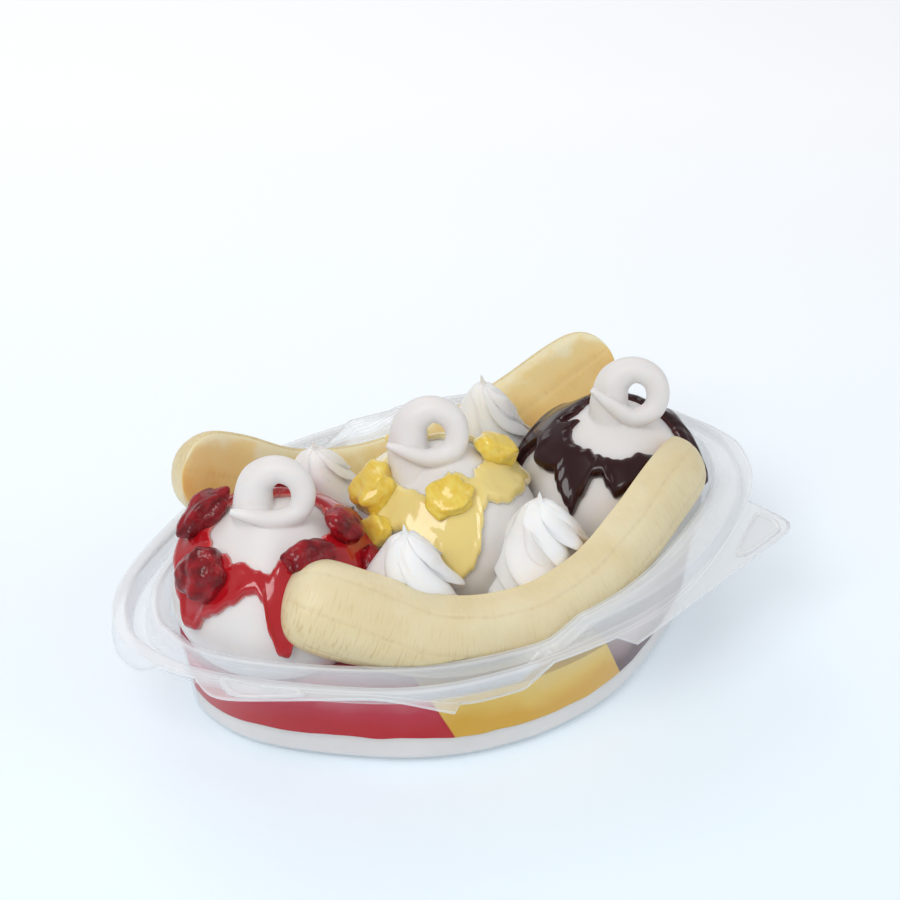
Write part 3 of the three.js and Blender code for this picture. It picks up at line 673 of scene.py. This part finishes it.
def coat_skin(flavour, scoop):
    thickness = COAT_THICKNESS[flavour]
    lowest = math.acos((SAUCE_LEVEL * 1000 + 0.2 - scoop["centre"][2]) / scoop["height"])
    sections = []
    for column in range(COAT_COLUMNS):
        heading = column / COAT_COLUMNS * 2 * math.pi
        start, end = coat_edges(COATS[flavour], heading)
        way = Vector((math.cos(heading), math.sin(heading), scoop["round"]))
        ripple = noise.noise(way * 4)
        fray = noise.noise(way * 7 + Vector((0, 0, 3)))
        start += 0.03 * ripple + 0.02 * fray
        end = min(end + 0.025 * ripple - 0.015 * fray, lowest)
        length = (end - start) * scoop["round"]
        sections.append((heading, start, end, length))

    def height(column, row):
        heading, start, end, length = sections[column % COAT_COLUMNS]
        share = row / COAT_OUTER
        upper = clamp(share * length / COAT_UPPER_BEVEL)
        lower = clamp((1 - share) * length / COAT_LOWER_BEVEL)
        rim = math.sqrt(1 - (1 - upper) ** 2) * math.sqrt(1 - (1 - lower) ** 2)
        slope = blend(start, end, share)
        spot = on_scoop(scoop, heading, slope, 0) * 110
        swell = 1 + 0.22 * noise.noise(spot)
        bead = 0.35 * math.exp(-(((1 - share) * length - 3) / COAT_LOWER_BEVEL) ** 2)
        return rim * (swell + bead)

    def place(column, row):
        heading, start, end, _ = sections[column % COAT_COLUMNS]
        row %= COAT_OUTER + COAT_INNER
        if row <= COAT_OUTER:
            slope = blend(start, end, row / COAT_OUTER)
            grow = 0.05 + thickness * height(column, row)
            return inside_tub(on_scoop(scoop, heading, slope, grow), 0.0003)
        share = 1 - (row - COAT_OUTER) / COAT_INNER
        return inside_tub(on_scoop(scoop, heading, blend(start, end, share), -0.7), 0.0006)

    def depth(column, row):
        row %= COAT_OUTER + COAT_INNER
        return Vector((height(column, row) if row <= COAT_OUTER else 0, 0, 0))

    return wrapped_skin(f"{flavour}_coat", COAT_COLUMNS, COAT_OUTER + COAT_INNER, place, depth)


def syrup_material(name, thin, full, deep, roughness, ripple, gloss):
    """Wet sauce whose colour deepens with its thickness, under a clear gloss."""
    material, nodes, links, shader = new_material(name)
    shader.inputs["Roughness"].default_value = roughness
    shader.inputs["IOR"].default_value = 1.45
    shader.inputs["Specular IOR Level"].default_value = 0.5 * gloss
    shader.inputs["Coat Weight"].default_value = gloss
    shader.inputs["Coat Roughness"].default_value = 0.025
    soften(shader, 0.25, (0.003, 0.0012, 0.0006))
    place = nodes.new("ShaderNodeTexCoord")
    marks = nodes.new("ShaderNodeAttribute")
    marks.attribute_name = "marks"
    split = nodes.new("ShaderNodeSeparateXYZ")
    cloud = noise_texture(nodes, 130, 4)
    depth = scale_and_add(nodes, 0.55)
    tone = colour_ramp(nodes, (0.42, thin), (1, deep), (0.8, full))
    wave = noise_texture(nodes, 170, 2)
    relief = bump(nodes, ripple, 0.0006)
    for texture in (cloud, wave):
        links.new(place.outputs["Object"], texture.inputs["Vector"])
    links.new(marks.outputs["Vector"], split.inputs["Vector"])
    links.new(cloud.outputs["Fac"], depth.inputs[0])
    links.new(split.outputs["X"], depth.inputs[2])
    links.new(depth.outputs["Value"], tone.inputs["Fac"])
    links.new(tone.outputs["Color"], shader.inputs["Base Color"])
    links.new(wave.outputs["Fac"], relief.inputs["Height"])
    links.new(relief.outputs["Normal"], shader.inputs["Normal"])
    return material


SYRUPS = {
    "strawberry": syrup_material(
        "strawberry_syrup", (0.82, 0.3, 0.27), (0.66, 0.016, 0.02), (0.46, 0.006, 0.012), 0.2, 0.4, 0.7
    ),
    "pineapple": syrup_material(
        "pineapple_syrup", (0.88, 0.8, 0.58), (0.87, 0.74, 0.38), (0.86, 0.69, 0.25), 0.25, 0.3, 0.7
    ),
    "chocolate": syrup_material(
        "chocolate_syrup", (0.07, 0.014, 0.012), (0.034, 0.0055, 0.0065), (0.026, 0.004, 0.005),
        0.25, 0.12, 0.4
    ),
}
for flavour, scoop in SCOOPS.items():
    coat = coat_skin(flavour, scoop)
    coat.data.materials.append(SYRUPS[flavour])
    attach(coat, "root")
    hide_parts(f"{flavour}_sauce")


# The fruit in the sauces. Crushed strawberries and cut pineapple, each a lump that sits sunk a
# little into the syrup. Rows: heading, slope, half sizes along, across and up in millimetres.
FRUIT = {
    "strawberry": (
        (-163, 51, 8.5, 7.5, 6), (143, 36, 10, 6, 5), (-30, 39, 7.5, 6.5, 4.5), (-82, 37, 9, 5.5, 4),
        (-39, 63, 4, 6.5, 3), (52, 38, 6.5, 5.5, 4),
    ),
    "pineapple": (
        (172, 44, 8, 7, 5), (-115, 33, 7.5, 6.5, 3.2), (-14, 28, 8, 6, 4.5), (-166, 60, 5.5, 5.5, 3.5),
        (95, 44, 7, 6, 4),
    ),
}


def fruit_lump(name, scoop, row, seed, angular, grain):
    heading, slope, along, wide, thick = row
    place = on_scoop(scoop, math.radians(heading), math.radians(slope), 2 + 0.45 * thick)
    middle = Vector(scoop["centre"]) / 1000
    upright = (place - middle).normalized()
    turn = Vector((0, 0, 1)).rotation_difference(upright)
    bpy.ops.object.select_all(action="DESELECT")
    bpy.ops.mesh.primitive_ico_sphere_add(subdivisions=5, radius=1)
    lump = bpy.context.object
    lump.name = lump.data.name = name
    drift = Vector((seed * 3.7, seed * 1.3, seed * 2.1))
    for vertex in lump.data.vertices:
        way = vertex.co.normalized()
        block = max(abs(way.x), abs(way.y), abs(way.z))
        out = 1 / block**angular
        out *= 0.96 + 0.28 * noise.noise(way * 1.3 + drift)
        out += grain * noise.noise(way * 3.5 + drift) + 0.3 * grain * noise.noise(way * 9 + drift)
        vertex.co = place + turn @ Vector((way.x * along, way.y * wide, way.z * thick)) * out / 1000
    bpy.ops.object.shade_smooth()
    return lump


def berry_material():
    """Crushed strawberry: dark wet flesh, dimpled, with paler patches."""
    material, nodes, links, shader = new_material("strawberry_flesh")
    shader.inputs["Roughness"].default_value = 0.4
    shader.inputs["Specular IOR Level"].default_value = 0.15
    shader.inputs["Coat Weight"].default_value = 0.5
    shader.inputs["Coat Roughness"].default_value = 0.02
    soften(shader, 0.1, (0.003, 0.0008, 0.0006))
    place = nodes.new("ShaderNodeTexCoord")
    cloud = noise_texture(nodes, 210, 5)
    tone = colour_ramp(nodes, (0.35, (0.12, 0.002, 0.005)), (0.72, (0.38, 0.006, 0.013)))
    dimples = nodes.new("ShaderNodeTexVoronoi")
    dimples.inputs["Scale"].default_value = 800
    relief = bump(nodes, 0.55, 0.0004)
    for texture in (cloud, dimples):
        links.new(place.outputs["Object"], texture.inputs["Vector"])
    links.new(cloud.outputs["Fac"], tone.inputs["Fac"])
    links.new(tone.outputs["Color"], shader.inputs["Base Color"])
    links.new(dimples.outputs["Distance"], relief.inputs["Height"])
    links.new(relief.outputs["Normal"], shader.inputs["Coat Normal"])
    return material


def pineapple_material():
    """Cut pineapple: golden, fibrous and wet."""
    material, nodes, links, shader = new_material("pineapple_flesh")
    shader.inputs["Roughness"].default_value = 0.3
    shader.inputs["Specular IOR Level"].default_value = 0.3
    shader.inputs["Coat Weight"].default_value = 0.6
    shader.inputs["Coat Roughness"].default_value = 0.04
    soften(shader, 0.35, (0.004, 0.0025, 0.0006))
    place = nodes.new("ShaderNodeTexCoord")
    stretch = nodes.new("ShaderNodeMapping")
    stretch.inputs["Rotation"].default_value = (0.4, 0.2, 0.7)
    stretch.inputs["Scale"].default_value = (1.0, 0.22, 1.0)
    fibre = noise_texture(nodes, 520, 3)
    tone = colour_ramp(nodes, (0.3, (0.8, 0.54, 0.05)), (0.7, (0.87, 0.68, 0.14)))
    relief = bump(nodes, 0.45, 0.0004)
    links.new(place.outputs["Object"], stretch.inputs["Vector"])
    links.new(stretch.outputs["Vector"], fibre.inputs["Vector"])
    links.new(fibre.outputs["Fac"], tone.inputs["Fac"])
    links.new(tone.outputs["Color"], shader.inputs["Base Color"])
    links.new(fibre.outputs["Fac"], relief.inputs["Height"])
    links.new(relief.outputs["Normal"], shader.inputs["Normal"])
    return material


FLESH = {
    "strawberry": (berry_material(), 0.2, 0.05),
    "pineapple": (pineapple_material(), 0.38, 0.025),
}
for flavour, rows in FRUIT.items():
    flesh, angular, grain = FLESH[flavour]
    for k, row in enumerate(rows):
        node = f"{flavour}_piece_{k + 1}"
        lump = fruit_lump(f"{flavour}_lump_{k + 1}", SCOOPS[flavour], row, 3 + k, angular, grain)
        lump.data.materials.append(flesh)
        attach(lump, "root")
        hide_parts(node)


# The whipped cream. Four dollops piped through a star nozzle between the scoops, each with seven
# soft folds that wind up over a full shoulder to a leaning tip. Rows: foot, width, height, lean.
SWIRLS = {
    "cream_left_back": ((-28.5, 28, 36), 13.3, 34.5, (-4, 1.2)),
    "cream_middle_back": ((35, 31, 36), 13, 39.5, (-5, 1)),
    "cream_left_front": ((-26, -31, 34), 15.5, 41, (-3, 1.5)),
    "cream_right_front": ((18.5, -33, 34), 16.4, 38.5, (-1.5, 2)),
}
SWIRL_FOLDS = 7
SWIRL_TWIST = -3.2
SWIRL_CREASE = 0.52
SWIRL_SAG = 0.12
SWIRL_SIDES = 210
SWIRL_ROWS = 110


def swirl_skin(name, foot, width, height, lean, seed):
    """A dollop with twisting folds, creased between them, drawn up to a thin tip."""
    base = Vector(foot)
    drift = Vector((seed * 5.1, seed * 2.3, seed * 1.7))

    def place(column, row):
        if row > SWIRL_ROWS:
            return base / 1000
        t = 1 - row / SWIRL_ROWS
        turn = (column % SWIRL_SIDES) / SWIRL_SIDES * 2 * math.pi
        shoulder = math.sqrt(max(1 - (t / 0.9) ** 2.5, 0)) * (1 - 0.24 * t)
        tip = 0.4 * (1 - t) ** 0.8
        reach = width * (shoulder**4 + tip**4) ** 0.25
        way = Vector((math.cos(turn), math.sin(turn), 2.2 * t))
        drag = 0.75 * noise.noise(way * 1.2 + drift)
        fold = abs(math.sin(SWIRL_FOLDS / 2 * (turn + drag + 0.4 * seed))) ** 1.05
        crease = SWIRL_CREASE * (1 - fold) * (1 - 0.4 * t)
        swell = 1.19 - crease + 0.2 * noise.noise(way * 1.7 + drift)
        wound = turn + SWIRL_TWIST * t**0.85
        sag = SWIRL_SAG * height * (fold - 0.55) * ease(0, 0.35, 1 - t)
        lift = Vector((lean[0] * t * t, lean[1] * t * t, height * t - sag * ease(0, 0.3, t)))
        out = reach * swell
        return (base + lift + Vector((out * math.cos(wound), out * math.sin(wound), 0))) / 1000

    swirl = wrapped_skin(name, SWIRL_SIDES, SWIRL_ROWS + 1, place)
    finish_modifier(swirl, "SMOOTH", factor=0.5, iterations=2)
    return swirl


whipped = milky_material("whipped_cream", (0.93, 0.925, 0.915), 0.5)
for seed, (node, (foot, width, height, lean)) in enumerate(SWIRLS.items()):
    swirl = swirl_skin(f"{node}_swirl", foot, width, height, lean, seed)
    swirl.data.materials.append(whipped)
    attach(swirl, "root")
    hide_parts(node)


# The banana halves. One peeled banana split lengthways: the front half shows its pale round side,
# the back half its golden cut face, and both bend up at their ends.
BANANA_ROUND = 13.6
BANANAS = {
    "front": (
        ((-67, -24, 58), (-48, -35.5, 51), (-26, -44.5, 42.5), (3, -47.5, 40.5), (26, -44, 44.5),
         (43, -37, 50), (61, -27, 55), (80, -16.5, 57.5)),
        ((0.25, 0.85, -0.45), (0.1, 0.99, 0.1), (-0.5, 0.85, -0.1)),
        (0.16, -0.02),
    ),
    "back": (
        ((-73, 40, 65.5), (-55, 42.5, 54.5), (-33, 45, 40.5), (-6, 46.5, 33.5), (22, 46.5, 34.5),
         (48, 44, 44.5), (68, 40, 58), (82, 36.5, 68)),
        ((-0.3, -0.78, 0.55), (-0.35, -0.75, 0.56), (-0.42, -0.7, 0.57)),
        (0.1, -0.04),
    ),
}
BANANA_STEPS = 220
BANANA_ARC = 96
BANANA_FACE = 20
BANANA_BLUNTNESS = 16
SEAMS = (0.7, 1.62, 2.5)
FACE_MIDDLE = -1.0


def banana_skin(side):
    along, faces = ([Vector(point) for point in points] for points in BANANAS[side][:2])
    thicker = BANANAS[side][2]
    fine = 400
    path = [smooth_path(along, k / fine) for k in range(fine + 1)]
    lengths = [0.0]
    for a, b in zip(path, path[1:]):
        lengths.append(lengths[-1] + (b - a).length)

    def at_share(share):
        target = share * lengths[-1]
        k = next((i for i in range(fine) if lengths[i + 1] >= target), fine - 1)
        past = (target - lengths[k]) / (lengths[k + 1] - lengths[k])
        return smooth_path(along, (k + clamp(past)) / fine)

    rings = []
    for k in range(BANANA_STEPS + 1):
        t = (1 - math.cos(math.pi * (k + 0.25) / (BANANA_STEPS + 0.5))) / 2
        run = abs(2 * t - 1)
        radius = BANANA_ROUND * (1 + thicker[0 if t < 0.5 else 1] * run * run)
        radius *= math.sqrt(max(1 - run**BANANA_BLUNTNESS, 0))
        tangent = (at_share(min(t + 0.004, 1)) - at_share(max(t - 0.004, 0))).normalized()
        facing = smooth_path(faces, t)
        out = -(facing - tangent * facing.dot(tangent)).normalized()
        rings.append((at_share(t), tangent.cross(out), out, radius, t * lengths[-1]))

    ring_size = BANANA_ARC + BANANA_FACE

    def section(column):
        column %= ring_size
        if column <= BANANA_ARC:
            turn = math.pi * column / BANANA_ARC
            seam = sum(math.exp(-(((turn - at) / 0.045) ** 2)) for at in SEAMS)
            facet = 0.012 * math.cos(5 * turn)
            size = 1 + facet - 0.014 * seam
            return size * math.cos(turn), size * math.sin(turn), turn
        share = (column - BANANA_ARC) / BANANA_FACE
        across = -1 + 2 * share
        edge = 1 - abs(across) ** 14
        groove = 0.018 * math.exp(-((across / 0.05) ** 2))
        rise = -0.085 * edge + groove - 0.004 * math.cos(9 * across)
        return across * 0.985, rise, FACE_MIDDLE + across * 0.5

    def place(column, row):
        middle, rim, out, radius, _ = rings[clamp(row - 1, 0, BANANA_STEPS)]
        if row in (0, BANANA_STEPS + 2):
            return middle / 1000
        a, b, _ = section(column)
        spot = middle + rim * (a * radius) + out * (b * radius)
        spot += (rim * a + out * b) * 0.22 * noise.noise(spot * 0.09)
        return inside_tub(spot / 1000, 0.0002)

    def mark(column, row):
        length = rings[clamp(row - 1, 0, BANANA_STEPS)][4]
        around = section(column)[2]
        waver = 0.05 * noise.noise(Vector((length * 0.06, 2, 4)))
        flecks = ease(0.55, 0.9, 0.5 + noise.noise(Vector((length * 0.9, around, 4))))
        line = sum(math.exp(-(((around - at - waver) / 0.028) ** 2)) for at in (*SEAMS, FACE_MIDDLE))
        return Vector((length / 1000, around, line * (0.35 + 0.65 * flecks)))

    return wrapped_skin(f"banana_half_{side}", ring_size, BANANA_STEPS + 2, place, mark)


def banana_material():
    """Peeled banana: fine cross marks on the round side, which gather along its lower edge on the front
    half; that edge is also painted darker as shade and the top painted lighter as light. A golden seeded
    core on the cut face.
    """
    material, nodes, links, shader = new_material("banana_flesh")
    shader.inputs["Roughness"].default_value = 0.45
    soften(shader, 0.3, (0.004, 0.0028, 0.0012))
    marks = nodes.new("ShaderNodeAttribute")
    marks.attribute_name = "marks"
    parts = nodes.new("ShaderNodeSeparateXYZ")
    links.new(marks.outputs["Vector"], parts.inputs["Vector"])
    place = nodes.new("ShaderNodeTexCoord")
    stretch = nodes.new("ShaderNodeMapping")
    stretch.inputs["Scale"].default_value = (1500, 2.2, 1)
    threads = noise_texture(nodes, 1, 3)
    cloud = noise_texture(nodes, 75, 5)
    links.new(marks.outputs["Vector"], stretch.inputs["Vector"])
    links.new(stretch.outputs["Vector"], threads.inputs["Vector"])
    links.new(place.outputs["Object"], cloud.inputs["Vector"])
    thread_and_shade_tone = colour_ramp(nodes, (0.34, (0.64, 0.47, 0.21)), (0.47, (0.77, 0.64, 0.37)))
    links.new(threads.outputs["Fac"], thread_and_shade_tone.inputs["Fac"])
    plain_lit_tone = colour_ramp(nodes, (0.35, (0.77, 0.65, 0.39)), (0.65, (0.82, 0.73, 0.49)))
    links.new(cloud.outputs["Fac"], plain_lit_tone.inputs["Fac"])
    # Painted light: round the arc the plain, lighter tone takes over from the darker thread tone, so the
    # front half is painted shaded below and lit on top.
    upper = nodes.new("ShaderNodeMapRange")
    upper.inputs["From Min"].default_value = 1.0
    upper.inputs["From Max"].default_value = 2.4
    upper.inputs["To Min"].default_value = 0.25
    upper.inputs["To Max"].default_value = 0.85
    links.new(parts.outputs["Y"], upper.inputs["Value"])
    outside = nodes.new("ShaderNodeMix")
    outside.data_type = "RGBA"
    links.new(upper.outputs["Result"], outside.inputs["Factor"])
    links.new(thread_and_shade_tone.outputs["Color"], outside.inputs["A"])
    links.new(plain_lit_tone.outputs["Color"], outside.inputs["B"])
    mottle = scale_and_add(nodes, 1.2)
    links.new(cloud.outputs["Fac"], mottle.inputs[0])
    links.new(parts.outputs["Y"], mottle.inputs[2])
    depth = nodes.new("ShaderNodeMapRange")
    depth.inputs["From Min"].default_value = -0.9
    depth.inputs["From Max"].default_value = 0.1
    links.new(mottle.outputs["Value"], depth.inputs["Value"])
    inside = colour_ramp(
        nodes, (0.02, (0.78, 0.49, 0.15)), (0.95, (0.86, 0.78, 0.52)),
        (0.45, (0.83, 0.6, 0.23)), (0.78, (0.83, 0.66, 0.31)),
    )
    links.new(depth.outputs["Result"], inside.inputs["Fac"])
    is_face = nodes.new("ShaderNodeMath")
    is_face.operation = "LESS_THAN"
    is_face.inputs[1].default_value = -0.25
    links.new(parts.outputs["Y"], is_face.inputs[0])
    skin = nodes.new("ShaderNodeMix")
    skin.data_type = "RGBA"
    links.new(is_face.outputs["Value"], skin.inputs["Factor"])
    links.new(outside.outputs["Result"], skin.inputs["A"])
    links.new(inside.outputs["Color"], skin.inputs["B"])
    tone = nodes.new("ShaderNodeMix")
    tone.data_type = "RGBA"
    tone.inputs["B"].default_value = (0.42, 0.24, 0.07, 1)
    seam_share = nodes.new("ShaderNodeMath")
    seam_share.operation = "MULTIPLY"
    seam_share.inputs[1].default_value = 0.2
    links.new(parts.outputs["Z"], seam_share.inputs[0])
    links.new(seam_share.outputs["Value"], tone.inputs["Factor"])
    links.new(skin.outputs["Result"], tone.inputs["A"])
    links.new(tone.outputs["Result"], shader.inputs["Base Color"])
    relief = bump(nodes, 0.25, 0.0003)
    links.new(threads.outputs["Fac"], relief.inputs["Height"])
    links.new(relief.outputs["Normal"], shader.inputs["Normal"])
    return material


banana_flesh = banana_material()
for side in BANANAS:
    half = banana_skin(side)
    half.data.materials.append(banana_flesh)
    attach(half, "root")
    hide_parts(f"banana_{side}")


# The room: a pale floor whose colour is painted light, whiter away from the camera and glowing a little,
# soft light from above, from both sides and from behind, and the camera at the photograph's angle.
bpy.ops.object.select_all(action="DESELECT")
bpy.ops.mesh.primitive_plane_add(size=30, location=(0, 0, -0.0002))
floor = bpy.context.object
floor.name = "pale_floor"
floor_painted_light_material, nodes, links, shader = new_material("pale_floor_painted_light")
shader.inputs["Roughness"].default_value = 0.7
spot = nodes.new("ShaderNodeTexCoord")
turned = nodes.new("ShaderNodeMapping")
turned.inputs["Rotation"].default_value = (0, 0, -1.094)
turned_parts = nodes.new("ShaderNodeSeparateXYZ")
far = nodes.new("ShaderNodeMapRange")
far.inputs["From Min"].default_value = -0.22
far.inputs["From Max"].default_value = 0.4
# Painted light: the floor's colour runs from blue-grey near the camera to white far off, as the light falls
# off.
floor_light_gradient = nodes.new("ShaderNodeMix")
floor_light_gradient.data_type = "RGBA"
floor_light_gradient.inputs["A"].default_value = (0.74, 0.85, 0.93, 1)
floor_light_gradient.inputs["B"].default_value = (0.97, 0.985, 1.0, 1)
links.new(spot.outputs["Object"], turned.inputs["Vector"])
links.new(turned.outputs["Vector"], turned_parts.inputs["Vector"])
links.new(turned_parts.outputs["X"], far.inputs["Value"])
links.new(far.outputs["Result"], floor_light_gradient.inputs["Factor"])
links.new(floor_light_gradient.outputs["Result"], shader.inputs["Base Color"])
# The floor also glows a little in that colour: painted light, as the floor is no lamp.
links.new(floor_light_gradient.outputs["Result"], shader.inputs["Emission Color"])
shader.inputs["Emission Strength"].default_value = 0.17
floor.data.materials.append(floor_painted_light_material)

world = bpy.data.worlds.new("studio_air")
world.use_nodes = True
world.node_tree.nodes["Background"].inputs["Color"].default_value = (0.97, 0.975, 1.0, 1)
world.node_tree.nodes["Background"].inputs["Strength"].default_value = 0.5
bpy.context.scene.world = world


def soft_light(name, place, size, power):
    bpy.ops.object.light_add(type="AREA", location=place)
    lamp = bpy.context.object
    lamp.name = name
    lamp.data.size = size
    lamp.data.energy = power
    lamp.rotation_euler = (Vector((0, 0, 0.04)) - Vector(place)).to_track_quat("-Z", "Y").to_euler()


soft_light("key_light", (-0.55, -0.35, 0.85), 0.5, 4.6)
soft_light("fill_light", (0.7, -0.6, 0.6), 0.7, 1.5)
soft_light("back_light", (0.1, 0.9, 0.8), 0.6, 2.0)

bpy.ops.object.camera_add(location=(-0.259285, -0.505659, 0.472055))
camera = bpy.context.object
look = Vector((0.376131, 0.727805, -0.573433))
camera.rotation_euler = look.to_track_quat("-Z", "Y").to_euler()
camera.data.lens = 88
camera.data.sensor_width = 36
bpy.context.scene.camera = camera
bpy.context.scene.view_settings.view_transform = "Standard"
